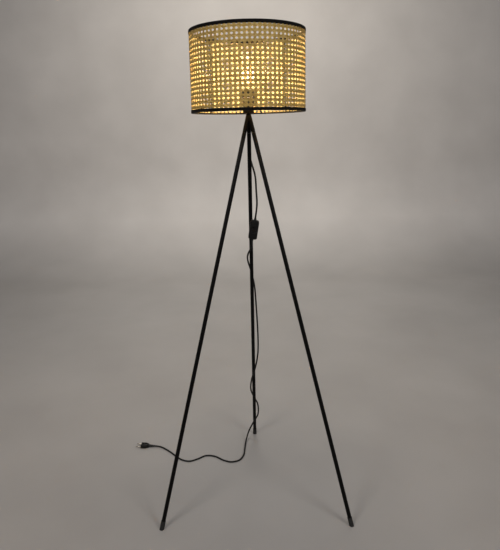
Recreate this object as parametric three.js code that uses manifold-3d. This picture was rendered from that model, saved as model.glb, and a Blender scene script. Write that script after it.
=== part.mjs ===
// Tripod floor lamp with an open drum shade of woven cane, in millimetres, +Z up.
// The floor is z = 0. The lamp's own axis is vertical and one leg points towards +Y.

import * as THREE from 'three';
import { mergeVertices } from 'three/addons/utils/BufferGeometryUtils.js';
import Module from 'manifold-3d';

const wasm = await Module();
wasm.setup();

// ---- driving dimensions ----

const totalHeight = 1524;
const shadeDiameter = 348;
const shadeHeight = 237;
const footCircleRadius = 346;
const legDiameter = 12.7;
const legWall = 1.2;
const stubLength = 62; // welded stub of the head, measured along its leg
const hubDiameter = 33;
const hubHeight = 12;
const cordDiameter = 6;
const gap = 0.3; // between pieces that touch

// ---- sizes worked out from them ----

const rimZ = totalHeight - shadeHeight;
const apexZ = rimZ - 1; // the three leg axes meet here, under the hub
const hubTop = rimZ + hubHeight - 2;
const legLength = Math.hypot(footCircleRadius, apexZ);
const legAngles = { back: 90, left: 210, right: 330 };
const legRadius = legDiameter / 2;
const roundSides = 20;
const ringSides = 48; // sides of the large shade rings

// ---- finishes ----

const finish = (color, roughness, metalness = 0) => ({ color, roughness, metalness });
const blackSteel = finish(0x17171a, 0.45, 0.4);
const brass = finish(0xb08d45, 0.35, 1);
const plated = finish(0xb8b8b4, 0.3, 1);
const phenolic = finish(0x1b1613, 0.4);
const steatite = finish(0xe6e1d6, 0.6);
const rubber = finish(0x121212, 0.8);
const cane = finish(0xc79a4e, 0.6);
const tape = finish(0x15120f, 0.75);
const glass = finish(0xfff1d2, 0.05);
const phosphor = finish(0xffc45e, 0.5);
const softPlastic = finish(0x141414, 0.55);

// ---- helpers ----

const degrees = (angle) => (angle * Math.PI) / 180;

// Shared vertices merged, flat triangles dropped, faces outwards.
function closed(source) {
  const bare = source.clone();
  for (const name of Object.keys(bare.attributes)) {
    if (name !== 'position') bare.deleteAttribute(name);
  }
  const merged = mergeVertices(bare, 1e-4);
  const from = merged.index.array;
  const place = merged.attributes.position;
  const a = new THREE.Vector3();
  const b = new THREE.Vector3();
  const c = new THREE.Vector3();
  const kept = [];
  let volume = 0;
  for (let i = 0; i < from.length; i += 3) {
    const [i0, i1, i2] = [from[i], from[i + 1], from[i + 2]];
    if (i0 === i1 || i1 === i2 || i2 === i0) continue;
    kept.push(i0, i1, i2);
    a.fromBufferAttribute(place, i0);
    b.fromBufferAttribute(place, i1);
    c.fromBufferAttribute(place, i2);
    volume += a.dot(b.cross(c));
  }
  if (volume < 0) kept.reverse();
  merged.setIndex(kept);
  return merged;
}

const toManifold = (geometry) => {
  const solid = closed(geometry);
  return new wasm.Manifold(
    new wasm.Mesh({
      numProp: 3,
      vertProperties: new Float32Array(solid.attributes.position.array),
      triVerts: new Uint32Array(solid.index.array),
    }),
  );
};

function fromManifold(solid) {
  const mesh = solid.getMesh();
  const geometry = new THREE.BufferGeometry();
  geometry.setAttribute('position', new THREE.BufferAttribute(mesh.vertProperties, 3));
  geometry.setIndex(new THREE.BufferAttribute(mesh.triVerts, 1));
  return geometry;
}

// First geometry plus the joined ones, less the cut ones.
function carve(base, { join = [], cut = [] }) {
  let solid = toManifold(base);
  for (const piece of join) solid = solid.add(toManifold(piece));
  for (const piece of cut) solid = solid.subtract(toManifold(piece));
  return fromManifold(solid);
}

// A turned shape about Z from [radius, z] corners; a hollow one closes on itself.
function turned(corners, sides = roundSides) {
  const outline = corners.map(([radius, z]) => new THREE.Vector2(radius, z));
  const onAxis = corners[0][0] === 0 && corners.at(-1)[0] === 0;
  if (!onAxis) outline.push(outline[0].clone());
  return new THREE.LatheGeometry(outline, sides).rotateX(Math.PI / 2);
}

const ring = (inner, outer, low, high, sides = roundSides) =>
  turned([[inner, low], [outer, low], [outer, high], [inner, high]], sides);

const rod = (radius, low, high, sides = roundSides) =>
  turned([[0, low], [radius, low], [radius, high], [0, high]], sides);

const block = (width, depth, height, x = 0, y = 0, z = 0) =>
  new THREE.BoxGeometry(width, depth, height).translate(x, y, z);

// A flat plate with round corners and bevelled edges, centred on X and Y, from z = 0 up.
function roundedPlate(width, height, corner, thickness, bevel) {
  const [w, h, r] = [width / 2 - bevel, height / 2 - bevel, corner - bevel];
  const outline = new THREE.Shape();
  outline.absarc(w - r, -h + r, r, -Math.PI / 2, 0);
  outline.absarc(w - r, h - r, r, 0, Math.PI / 2);
  outline.absarc(-w + r, h - r, r, Math.PI / 2, Math.PI);
  outline.absarc(-w + r, -h + r, r, Math.PI, Math.PI * 1.5);
  return bevelled(outline, thickness, bevel);
}

function bevelled(outline, thickness, bevel) {
  return new THREE.ExtrudeGeometry(outline, {
    depth: thickness - 2 * bevel,
    bevelThickness: bevel,
    bevelSize: bevel,
    bevelSegments: 2,
    curveSegments: 4,
  }).translate(0, 0, bevel);
}

// A node: one closed solid with its own material.
function piece(parent, name, geometry, look) {
  const mesh = new THREE.Mesh(closed(geometry), new THREE.MeshStandardMaterial(look));
  mesh.name = name;
  parent.add(mesh);
  return mesh;
}

// A group whose Z axis runs down a leg from the point where the legs meet.
function legGroup(parent, angle) {
  const group = new THREE.Group();
  const down = new THREE.Vector3(
    footCircleRadius * Math.cos(degrees(angle)),
    footCircleRadius * Math.sin(degrees(angle)),
    -apexZ,
  ).normalize();
  group.position.set(0, 0, apexZ);
  group.quaternion.setFromUnitVectors(new THREE.Vector3(0, 0, 1), down);
  group.updateMatrix();
  parent.add(group);
  return group;
}

// ---- tripod: head, legs, studs, feet ----

const capRadius = legRadius + 1.05;
const capReach = 28; // how far a foot cap grips its leg
const studRadius = 4;
const studDepth = 15;
const exitZ = hubTop - hubHeight / 2;

function tripod(lamp) {
  const groups = {};
  for (const [side, angle] of Object.entries(legAngles)) groups[side] = legGroup(lamp, angle);

  const stubs = [];
  const cuts = [];
  for (const group of Object.values(groups)) {
    stubs.push(rod(legRadius, -2, stubLength).applyMatrix4(group.matrix));
    const hole = rod(studRadius + gap, stubLength - studDepth - gap, stubLength + 1);
    cuts.push(hole.applyMatrix4(group.matrix));
  }
  const hubRadius = hubDiameter / 2;
  const hub = turned([
    [0, hubTop - hubHeight],
    [hubRadius - 1, hubTop - hubHeight],
    [hubRadius, hubTop - hubHeight + 1],
    [hubRadius, hubTop - 1],
    [hubRadius - 1, hubTop],
    [0, hubTop],
  ], 32);
  cuts.push(rod(nippleRadius + gap, hubTop - 10, hubTop + 1));
  cuts.push(rod(bushingRadius + gap, 4, hubRadius + 1).rotateX(-Math.PI / 2).translate(0, 0, exitZ));
  piece(lamp, 'tripod_head', carve(hub, { join: stubs, cut: cuts }), blackSteel);

  const belowFloor = block(60, 60, 40, 0, 0, -20);
  for (const [side, group] of Object.entries(groups)) {
    const bore = legRadius - legWall;
    const tube = ring(bore, legRadius, stubLength + gap, legLength - 4 - gap);
    piece(group, `leg_${side}`, tube, blackSteel);

    const collar = stubLength + 2 * gap;
    const stud = turned([
      [0, stubLength - studDepth],
      [studRadius - 0.8, stubLength - studDepth],
      [studRadius, stubLength - studDepth + 0.8],
      [studRadius, collar],
      [bore - gap, collar],
      [bore - gap, collar + 16],
      [0, collar + 16],
    ], 16);
    piece(group, `leg_stud_${side}`, stud, plated);

    const cup = turned([
      [0, legLength + 4],
      [capRadius, legLength + 4],
      [capRadius, legLength - capReach + 1],
      [capRadius - 0.5, legLength - capReach],
      [legRadius + gap, legLength - capReach],
      [legRadius + gap, legLength - 4],
      [0, legLength - 4],
    ]);
    const foot = new THREE.Vector3(0, 0, legLength).applyMatrix4(group.matrix);
    const floorCut = belowFloor.clone().translate(foot.x, foot.y, 0);
    const cap = carve(cup.applyMatrix4(group.matrix), { cut: [floorCut] });
    piece(lamp, `foot_cap_${side}`, cap, rubber);
  }
}

// ---- lamp holder on top of the head ----

const nippleRadius = 4.8;
const nutHeight = 4;
const holderZ = hubTop + gap + nutHeight + gap; // underside of the holder
const shoulderZ = holderZ + 24; // the shade's centre ring rests here
const skirtRadius = 19.7;
const skirtTop = holderZ + 50;
const insertTop = holderZ + 22;

function lampHolder(lamp) {
  piece(lamp, 'nipple_tube', ring(3.3, nippleRadius, hubTop - 9, holderZ + 4.5, 16), plated);

  const nutZ = hubTop + gap;
  const nutBore = rod(nippleRadius + gap, nutZ - 1, nutZ + nutHeight + 1, 16);
  const nut = carve(rod(8.1, nutZ, nutZ + nutHeight, 6), { cut: [nutBore] });
  piece(lamp, 'lock_nut', nut, plated);

  piece(lamp, 'holder_base', turned([
    [nippleRadius + gap, holderZ],
    [11, holderZ],
    [17.6, holderZ + 4],
    [18.8, holderZ + 8],
    [18.8, shoulderZ - 3 - gap],
    [16.8, shoulderZ - 3 - gap],
    [16.8, holderZ + 8],
    [nippleRadius + gap, holderZ + 3],
  ], 32), phenolic);

  piece(lamp, 'holder_skirt', turned([
    [15.5, shoulderZ - 3],
    [23, shoulderZ - 3],
    [23, shoulderZ],
    [skirtRadius, shoulderZ],
    [skirtRadius, skirtTop - 1],
    [skirtRadius - 1, skirtTop],
    [15.5, skirtTop],
  ], 32), phenolic);

  piece(lamp, 'holder_insert', turned([
    [0, holderZ + 10],
    [14, holderZ + 10],
    [15, holderZ + 12],
    [15, insertTop],
    [0, insertTop],
  ], 24), steatite);

  const seat = insertTop + gap;
  piece(lamp, 'holder_screw_shell', ring(13.75, 14.3, seat, skirtTop - 3, 24), brass);
  piece(lamp, 'holder_contact', block(5, 10, 1.2, 0, 0, seat + 0.6), brass);
  for (const [name, x] of [['terminal_screw_live', -8], ['terminal_screw_neutral', 8]]) {
    const screw = rod(2.2, holderZ + 7.2, holderZ + 10 - gap, 10).translate(x, 0, 0);
    piece(lamp, name, screw, brass);
  }

  const clampZ = shoulderZ + gap + spiderPlate + gap;
  piece(lamp, 'shade_clamp_ring', turned([
    [skirtRadius + 0.5, clampZ],
    [28.5, clampZ],
    [28.5, clampZ + 2.4],
    [24, clampZ + 3.6],
    [23, clampZ + 11],
    [skirtRadius + 0.5, clampZ + 11],
  ], 32), phenolic);
}

// ---- bulb: a teardrop filament bulb with a 27 mm screw cap ----

const bulbBottom = insertTop + 3.2;
const bulbLength = 138;
const filamentCount = 4;
const stemTop = 48; // above the bottom of the bulb
const stick = { lowRadius: 8, highRadius: 13.5, rise: 52, thickness: 2.2 };

function bulb(lamp) {
  const at = (corners) => corners.map(([radius, z]) => [radius, z + bulbBottom]);
  piece(lamp, 'bulb_contact', turned(at([[0, 0], [3, 0], [4.4, 1], [4.4, 2], [0, 2]]), 16), plated);
  piece(lamp, 'bulb_cap_insulator', turned(at([
    [0, 2.3],
    [5.5, 2.3],
    [11.5, 5],
    [11.5, 6],
    [0, 6],
  ]), 24), phenolic);
  piece(lamp, 'bulb_screw_cap', turned(at([
    [12.7, 6.3],
    [13.2, 6.3],
    [13.2, 24],
    [14, 26],
    [13.5, 26],
    [12.7, 24],
  ]), 24), brass);

  // outside of the glass from the neck up to the tip, then back down inside
  const neckZ = 12;
  const outside = new THREE.SplineCurve([
    [12.3, neckZ],
    [12.3, 26],
    [16, 42],
    [25, 66],
    [31.4, 88],
    [31, 106],
    [24, 124],
    [11, 135],
    [0, bulbLength],
  ].map(([radius, z]) => new THREE.Vector2(radius, z))).getPoints(18);
  const wall = 0.9;
  const profile = outside.map(({ x, y }) => [Math.max(x, 0), y]);
  profile[profile.length - 1][0] = 0;
  const scaleIn = (radius) => Math.max(radius - wall, 0);
  const inside = profile.slice(0, -1).map(([radius, z]) => [scaleIn(radius), Math.min(z, bulbLength - 3)]);
  inside.push([0, bulbLength - 2]);
  const glassShell = at([...inside, ...profile.slice().reverse()]);
  const outline = glassShell.map(([radius, z]) => new THREE.Vector2(radius, z));
  const shell = new THREE.LatheGeometry([...outline, outline[0].clone()], 24).rotateX(Math.PI / 2);
  piece(lamp, 'bulb_glass', shell, glass);

  piece(lamp, 'bulb_stem', turned(at([
    [0, 14],
    [10.8, 14],
    [10.8, 15.5],
    [4, 24],
    [2.6, 40],
    [2.2, stemTop],
    [0, stemTop],
  ]), 16), glass);

  const lowZ = bulbBottom + stemTop;
  const highZ = lowZ + stick.rise;
  for (let i = 0; i < filamentCount; i += 1) {
    const turn = degrees(45 + (360 / filamentCount) * i);
    const outwards = new THREE.Vector3(Math.cos(turn), Math.sin(turn), 0);
    const low = outwards.clone().multiplyScalar(stick.lowRadius).setZ(lowZ);
    const high = outwards.clone().multiplyScalar(stick.highRadius).setZ(highZ);
    const bar = rod(stick.thickness / 2, 0, low.distanceTo(high), 8);
    const mesh = piece(lamp, `filament_${i + 1}`, bar, phosphor);
    mesh.position.copy(low);
    mesh.quaternion.setFromUnitVectors(new THREE.Vector3(0, 0, 1), high.sub(low).normalize());
  }
}

// ---- shade: wire frame, spider, cane webbing, edge tapes ----

const caneOuter = shadeDiameter / 2 - 1.4;
const caneThickness = 1.6;
const caneInner = caneOuter - caneThickness;
const ringWire = 2; // wire radius of the two hoops
const uprightWire = 1.5;
const spiderPlate = 2;
const tapeHeight = 9;
const tapeInside = { top: 9, bottom: 5 }; // less at the bottom, where the spokes end
const edgeInset = 1.2; // the cane stops this far inside the tape's fold
const uprightAngles = [45, 135, 225, 315];
const spokeAngles = [75, 195, 315];

function hoop(z) {
  const radius = caneInner - gap - ringWire;
  return new THREE.TorusGeometry(radius, ringWire, 8, ringSides).translate(0, 0, z);
}

// A folded tape of U section round the rim; side is +1 for the top edge and -1 for the bottom.
function edgeTape(z, side, inside) {
  const outer = shadeDiameter / 2;
  const inner = caneInner - 2 * gap - 2 * ringWire;
  const fold = z - side * (edgeInset - gap);
  return turned([
    [outer, z],
    [outer, z - side * tapeHeight],
    [caneOuter + gap, z - side * tapeHeight],
    [caneOuter + gap, fold],
    [inner, fold],
    [inner, z - side * inside],
    [inner - 0.9, z - side * inside],
    [inner - 0.9, z],
  ], ringSides);
}

function shade(lamp) {
  const [low, high] = [rimZ + edgeInset, totalHeight - edgeInset];
  piece(lamp, 'cane_webbing', ring(caneInner, caneOuter, low, high, ringSides), cane);
  piece(lamp, 'top_tape', edgeTape(totalHeight, 1, tapeInside.top), tape);
  piece(lamp, 'bottom_tape', edgeTape(rimZ, -1, tapeInside.bottom), tape);
  piece(lamp, 'frame_hoop_top', hoop(high - ringWire), blackSteel);
  piece(lamp, 'frame_hoop_bottom', hoop(low + ringWire), blackSteel);

  const uprightRadius = caneInner - gap - uprightWire;
  const uprightEnds = [low + 2 * ringWire + gap, high - 2 * ringWire - gap];
  uprightAngles.forEach((angle, i) => {
    const wire = rod(uprightWire, ...uprightEnds, 8);
    const turn = degrees(angle);
    wire.translate(uprightRadius * Math.cos(turn), uprightRadius * Math.sin(turn), 0);
    piece(lamp, `frame_upright_${i + 1}`, wire, blackSteel);
  });

  const plateRadius = 31;
  const plateZ = shoulderZ + gap;
  piece(lamp, 'spider_ring', ring(skirtRadius + 0.5, plateRadius, plateZ, plateZ + spiderPlate, 32), blackSteel);
  const reach = caneInner - gap - ringWire - 1.5;
  const rise = low + 2 * ringWire + ringWire + 2 * gap;
  spokeAngles.forEach((angle, i) => {
    const turn = degrees(angle);
    const out = new THREE.Vector3(reach * Math.cos(turn), reach * Math.sin(turn), rise);
    const hubEnd = plateRadius + gap + 0.4;
    const mid = new THREE.Vector3(hubEnd * Math.cos(turn), hubEnd * Math.sin(turn), plateZ + 1);
    const wire = rod(ringWire - 0.2, 0, out.distanceTo(mid), 8);
    const mesh = piece(lamp, `spider_spoke_${i + 1}`, wire, blackSteel);
    mesh.position.copy(mid);
    mesh.quaternion.setFromUnitVectors(new THREE.Vector3(0, 0, 1), out.sub(mid).normalize());
  });
}

// ---- mains lead, in-line switch and plug ----

const cordRadius = cordDiameter / 2;
const bushingRadius = 3.9;
const bushingTip = hubDiameter / 2 + 24;

const switchLength = 64;
const switchWidth = 29;
const switchDepth = 20;
const switchPlace = new THREE.Vector3(9.5, 77.5, 909.5);
const switchTurn = new THREE.Euler(degrees(6), degrees(9), 0);
const switchReach = switchLength / 2 + 9; // to the tip of each grommet

const plugThickness = 13.5;
const plugPlace = new THREE.Vector3(-400, 260, plugThickness / 2 + gap);
const plugHeading = degrees(174);

const alongSwitch = (distance) =>
  new THREE.Vector3(0, 0, distance).applyEuler(switchTurn).add(switchPlace);

// From the bushing at the back of the head down to the switch.
const upperRoute = [
  [0, bushingTip + gap, exitZ],
  [0, 57, 1290],
  [0, 73, 1279],
  [0, 80.5, 1256],
  [0, 81, 1200],
  [3.5, 78.5, 1142],
  [17, 72, 1090],
  [20, 71, 1040],
  [21.5, 68, 995],
  alongSwitch(switchReach + gap).toArray(),
];

// From the switch round the back leg to the floor, then over the floor to the plug.
const lowerRoute = [
  alongSwitch(-switchReach - gap).toArray(),
  [-1, 85.4, 846],
  [-11, 106, 820],
  [-13, 139, 791],
  [-3, 158, 748],
  [8, 167, 695],
  [13, 182, 625],
  [18, 235, 410],
  [8, 243.5, 345],
  [-7.5, 257, 288],
  [-12.5, 285, 230],
  [-1, 309, 184],
  [14, 315, 147],
  [14, 309, 108],
  [-4, 311, 73],
  [-24, 312, 32],
  [-36, 284, 8],
  [-41, 235, 3.5],
  [-45, 196, 3.2],
  [-60, 166, 3.2],
  [-91, 155, 3.2],
  [-121, 166, 3.2],
  [-156, 191, 3.2],
  [-190, 196, 3.2],
  [-220, 177, 3.2],
  [-250, 164, 3.2],
  [-281, 174, 3.2],
  [-336, 228, 3.2],
  [-373, 256, 4.6],
  [plugPlace.x + gap, plugPlace.y, plugPlace.z],
];

function lead(route, steps) {
  const section = new THREE.Shape().absarc(0, 0, cordRadius, 0, Math.PI * 2);
  const curve = new THREE.CatmullRomCurve3(
    route.map(([x, y, z]) => new THREE.Vector3(x, y, z)),
    false,
    'centripetal',
  );
  return new THREE.ExtrudeGeometry(section, {
    extrudePath: curve,
    steps,
    curveSegments: 5,
    bevelEnabled: false,
  });
}

function mainsLead(lamp) {
  const hubRadius = hubDiameter / 2;
  const bushing = turned([
    [0, 9],
    [bushingRadius, 9],
    [bushingRadius, hubRadius + gap],
    [5.4, hubRadius + gap],
    [5.4, hubRadius + 2],
    [4.8, hubRadius + 2.4],
    [3.7, bushingTip],
    [0, bushingTip],
  ], 16).rotateX(-Math.PI / 2).translate(0, 0, exitZ);
  piece(lamp, 'cord_bushing', bushing, rubber);
  piece(lamp, 'cord_upper', lead(upperRoute, 20), softPlastic);
  piece(lamp, 'cord_lower', lead(lowerRoute, 60), softPlastic);
}

// The switch lies along its own Z axis, with the rocker towards -Y; its halves part at seamY.
function inlineSwitch(lamp) {
  const body = new THREE.Group();
  body.position.copy(switchPlace);
  body.rotation.copy(switchTurn);
  lamp.add(body);

  const wall = 2;
  const seamY = 2;
  const screwZ = 20;
  const pivotY = -6;
  const rocker = { halfWidth: 5.6, halfLength: 9.5, tilt: 7 };
  const windowGap = 1.3;
  const ends = [-1, 1];
  const alongY = (geometry, x, z) => geometry.rotateX(-Math.PI / 2).translate(x, 0, z);

  const whole = roundedPlate(switchWidth, switchLength, 7, switchDepth, 2)
    .rotateX(Math.PI / 2)
    .translate(0, switchDepth / 2, 0);
  const room = block(switchWidth - 2 * wall, switchDepth - 2 * wall, switchLength - 2 * wall);
  const cordHoles = ends.map((end) => rod(4.2, -5, 5, 12).translate(0, 0, end * 29));

  const behindSeam = block(40, 20, 80, 0, seamY - gap / 2 + 10, 0);
  const window = block(
    2 * (rocker.halfWidth + gap),
    12,
    2 * (rocker.halfLength + windowGap),
    0,
    -10,
    0,
  );
  const lugs = ends.map((side) => block(2.4, 6.4, 4, side * 8, -6.4, 0));
  const pinHole = rod(1 + gap, -12, 12, 10).rotateY(Math.PI / 2).translate(0, pivotY, 0);
  const pillars = ends.map((end) => block(6, 10, 6, 0, -3.4, end * screwZ));
  const pilots = ends.map((end) => alongY(rod(1.4, -7, 4, 10), 0, end * screwZ));
  const hollowFront = carve(carve(whole, { cut: [room] }), { join: [...lugs, ...pillars] });
  const front = carve(hollowFront, { cut: [behindSeam, window, pinHole, ...cordHoles, ...pilots] });
  piece(body, 'switch_cover_front', front, softPlastic);

  const beforeSeam = block(40, 20, 80, 0, seamY + gap / 2 - 10, 0);
  const screwHoles = ends.flatMap((end) => [
    alongY(rod(1.4, 6, 12, 10), 0, end * screwZ),
    alongY(rod(2.3, 8.6, 12, 12), 0, end * screwZ),
  ]);
  const back = carve(whole, { cut: [room, beforeSeam, ...cordHoles, ...screwHoles] });
  piece(body, 'switch_cover_back', back, softPlastic);

  // the rocker's side view, in (z, y) about its pivot
  const side = new THREE.Shape([
    new THREE.Vector2(-rocker.halfLength, 2),
    new THREE.Vector2(-rocker.halfLength, -7),
    new THREE.Vector2(0, -5.4),
    new THREE.Vector2(rocker.halfLength, -7),
    new THREE.Vector2(rocker.halfLength, 2),
  ]);
  const bar = new THREE.ExtrudeGeometry(side, { depth: 2 * rocker.halfWidth, bevelEnabled: false })
    .translate(0, 0, -rocker.halfWidth)
    .rotateY(-Math.PI / 2);
  const throughHole = rod(1 + gap, -8, 8, 10).rotateY(Math.PI / 2);
  const key = piece(body, 'switch_rocker', carve(bar, { cut: [throughHole] }), softPlastic);
  key.position.y = pivotY;
  key.rotation.x = degrees(rocker.tilt);

  const pin = rod(1, -9, 9, 10).rotateY(Math.PI / 2).translate(0, pivotY, 0);
  piece(body, 'switch_pivot_pin', pin, plated);

  for (const [name, end] of [['top', 1], ['bottom', -1]]) {
    const terminal = block(8, 4, 6, 0, switchDepth / 2 - wall - gap - 2, end * 12);
    piece(body, `switch_terminal_${name}`, terminal, brass);
    const screw = turned([[0, -5], [1.1, -5], [1.1, 8.9], [2, 8.9], [2, 9.9], [0, 9.9]], 10);
    piece(body, `switch_screw_${name}`, alongY(screw, 0, end * screwZ), plated);
    const grommet = turned([
      [0, switchLength / 2 - 4],
      [3.9, switchLength / 2 - 4],
      [3.9, switchLength / 2 + gap],
      [4.9, switchLength / 2 + gap],
      [4.9, switchLength / 2 + 1.5],
      [3.6, switchReach],
      [0, switchReach],
    ], 12);
    if (end < 0) grommet.rotateX(Math.PI);
    piece(body, `switch_grommet_${name}`, grommet, rubber);
  }
}

// The plug lies flat; its local X runs from the lead to the pins.
function plug(lamp) {
  const body = new THREE.Group();
  body.position.copy(plugPlace);
  body.rotation.z = plugHeading;
  lamp.add(body);

  const reliefLength = 22;
  const pinFace = reliefLength + gap + 32;
  const back = reliefLength + gap;
  piece(body, 'plug_relief', turned([
    [0, 0],
    [3.6, 0],
    [5.2, reliefLength],
    [0, reliefLength],
  ], 12).rotateY(Math.PI / 2), rubber);

  const bevel = 2;
  const outline = new THREE.Shape([
    new THREE.Vector2(back + bevel, -4.5),
    new THREE.Vector2(back + 11, -11.5),
    new THREE.Vector2(pinFace - 8, -12),
    new THREE.Vector2(pinFace - bevel, -11),
    new THREE.Vector2(pinFace - bevel, 11),
    new THREE.Vector2(pinFace - 8, 12),
    new THREE.Vector2(back + 11, 11.5),
    new THREE.Vector2(back + bevel, 4.5),
  ]);
  const shell = bevelled(outline, plugThickness, bevel).translate(0, 0, -plugThickness / 2);
  piece(body, 'plug_body', shell, softPlastic);

  for (const [name, y] of [['left', 9.3], ['right', -9.3]]) {
    const pin = turned([
      [0, pinFace + gap],
      [2, pinFace + gap],
      [2, pinFace + 18],
      [1.2, pinFace + 19],
      [0, pinFace + 19],
    ], 12).rotateY(Math.PI / 2).translate(0, y, 0);
    piece(body, `plug_pin_${name}`, pin, plated);
  }
}

// ---- the whole lamp ----

const lamp = new THREE.Group();
tripod(lamp);
lampHolder(lamp);
shade(lamp);
bulb(lamp);
const standing = new THREE.Box3().setFromObject(lamp);
mainsLead(lamp);
inlineSwitch(lamp);
plug(lamp);

// The origin is under the middle of the lamp itself, without its lead.
lamp.position.y = -(standing.min.y + standing.max.y) / 2;

const group = new THREE.Group();
group.add(lamp);

export default group;
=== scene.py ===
import math
import random

import bmesh
import bpy
from mathutils import Matrix, Vector


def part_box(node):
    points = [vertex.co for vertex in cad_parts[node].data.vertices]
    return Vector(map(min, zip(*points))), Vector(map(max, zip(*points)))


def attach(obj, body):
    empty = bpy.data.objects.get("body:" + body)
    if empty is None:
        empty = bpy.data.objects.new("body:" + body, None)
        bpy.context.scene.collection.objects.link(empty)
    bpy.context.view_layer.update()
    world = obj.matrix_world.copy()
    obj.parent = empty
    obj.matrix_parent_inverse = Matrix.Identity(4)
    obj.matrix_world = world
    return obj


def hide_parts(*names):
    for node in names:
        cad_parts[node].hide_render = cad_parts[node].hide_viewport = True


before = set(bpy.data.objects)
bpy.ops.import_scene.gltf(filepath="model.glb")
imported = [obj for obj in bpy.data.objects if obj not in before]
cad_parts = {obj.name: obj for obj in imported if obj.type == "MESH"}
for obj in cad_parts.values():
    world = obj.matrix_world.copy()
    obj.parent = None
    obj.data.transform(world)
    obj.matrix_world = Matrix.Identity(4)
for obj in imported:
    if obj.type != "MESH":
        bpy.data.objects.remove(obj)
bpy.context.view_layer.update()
mm = 0.001
fullTurn = 2 * math.pi
skirtLow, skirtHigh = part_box("holder_skirt")
lampAxis = (skirtLow + skirtHigh) / 2  # the holder stands on the lamp's own axis
lampAxis.z = 0


def atLamp(x, y, z):  # millimetres from the lamp's axis to metres in the scene
    return lampAxis + Vector((x, y, z)) * mm


# camera

cameraSet = {
    "place": (0, -1618.7, 1233.1),
    "yaw": -0.0015,
    "pitch": -0.1796,
    "roll": -0.020,
    "lens": 34.04,
    "shiftY": -1 / 11,
}


def addCamera():
    yaw, pitch, roll = (cameraSet[key] for key in ("yaw", "pitch", "roll"))
    ahead = Vector((math.sin(yaw) * math.cos(pitch), math.cos(yaw) * math.cos(pitch), math.sin(pitch)))
    level = Vector((math.cos(yaw), -math.sin(yaw), 0))
    above = level.cross(ahead)
    right = level * math.cos(roll) + above * math.sin(roll)
    up = above * math.cos(roll) - level * math.sin(roll)
    data = bpy.data.cameras.new("camera")
    data.lens = cameraSet["lens"]
    data.shift_y = cameraSet["shiftY"]
    data.clip_end = 60
    camera = bpy.data.objects.new("camera", data)
    camera.matrix_world = Matrix.Translation(atLamp(*cameraSet["place"])) @ Matrix(
        (right, up, -ahead)
    ).transposed().to_4x4()
    bpy.context.scene.collection.objects.link(camera)
    bpy.context.scene.camera = camera


addCamera()
print("camera placed")

# materials: one function for a colour, one for a node


def hexColour(text):
    channels = [int(text[i : i + 2], 16) / 255 for i in (1, 3, 5)]
    linear = [c / 12.92 if c <= 0.04045 else ((c + 0.055) / 1.055) ** 2.4 for c in channels]
    return (*linear, 1.0)


def addNode(tree, kind, settings=None, inputs=None, stops=None):
    node = tree.nodes.new("ShaderNode" + kind)
    for key, value in (settings or {}).items():
        setattr(node, key, value)
    for key, value in (inputs or {}).items():
        if isinstance(value, bpy.types.NodeSocket):
            tree.links.new(value, node.inputs[key])
        else:
            node.inputs[key].default_value = value
    if stops:
        elements = node.color_ramp.elements
        while len(elements) < len(stops):
            elements.new(0.5)
        for element, (place, colour) in zip(elements, stops):
            element.position = place
            element.color = hexColour(colour)
    return node


def startMaterial(name, **values):
    material = bpy.data.materials.new(name)
    material.use_nodes = True
    tree = material.node_tree
    shader = tree.nodes["Principled BSDF"]
    for key, value in values.items():
        shader.inputs[key.replace("_", " ")].default_value = value
    return material, tree, shader


def feed(tree, shader, **sockets):
    for key, socket in sockets.items():
        tree.links.new(socket, shader.inputs[key.replace("_", " ")])


def mottled(name, dark, light, grain, roughness, bump=0.0, patch=60, metallic=0.0, **values):
    # a finish with a fine surface grain, a slow change of shade and a slightly uneven gloss;
    # grain is the size of one bump and patch the size of one patch, in millimetres
    material, tree, shader = startMaterial(name, Metallic=metallic, **values)
    place = addNode(tree, "TexCoord").outputs["Object"]
    slow, fine = (
        addNode(
            tree,
            "TexNoise",
            inputs={"Vector": place, "Scale": 1000 / size, "Detail": detail, "Roughness": falloff},
        ).outputs["Fac"]
        for size, detail, falloff in ((patch, 3.0, 0.5), (grain, 2.0, 0.6))
    )
    both = addNode(
        tree, "Math", {"operation": "MULTIPLY_ADD"}, {0: fine, 1: 0.35, 2: slow}
    ).outputs[0]
    colour = addNode(tree, "ValToRGB", inputs={"Fac": both}, stops=[(0.45, dark), (0.9, light)])
    gloss = addNode(
        tree,
        "MapRange",
        inputs={
            "Value": both,
            "From Min": 0.4,
            "From Max": 0.95,
            "To Min": roughness[0],
            "To Max": roughness[1],
        },
    )
    feed(tree, shader, Base_Color=colour.outputs["Color"], Roughness=gloss.outputs["Result"])
    if bump:
        raised = addNode(
            tree, "Bump", inputs={"Height": fine, "Strength": bump, "Distance": 0.15 * grain * mm}
        )
        feed(tree, shader, Normal=raised.outputs["Normal"])
    return material


# polyester powder coat baked on steel tube: black, half gloss, with a fine orange peel
powderCoat = mottled(
    "black_powder_coat",
    "#020202",
    "#060505",
    1.2,
    (0.4, 0.56),
    bump=0.35,
    patch=90,
    Specular_IOR_Level=0.12,
)
# dipped black enamel on the shade's wire: thinner and glossier than the tubes
wireEnamel = mottled(
    "black_wire_enamel",
    "#040404",
    "#0B0A0A",
    2.5,
    (0.32, 0.46),
    bump=0.15,
    patch=40,
    Specular_IOR_Level=0.25,
)
# bright zinc on small steel parts: grey metal with cloudy spangle
zincPlate = mottled(
    "zinc_plated_steel", "#9A9C9E", "#C9CACB", 1.5, (0.24, 0.42), bump=0.1, patch=5, metallic=1.0
)
# nickel over brass on caps and pins: warm white metal, polished
nickelPlate = mottled(
    "nickel_plated_brass", "#B4ADA0", "#D8D2C6", 1.0, (0.16, 0.3), bump=0.05, patch=8, metallic=1.0
)
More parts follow.
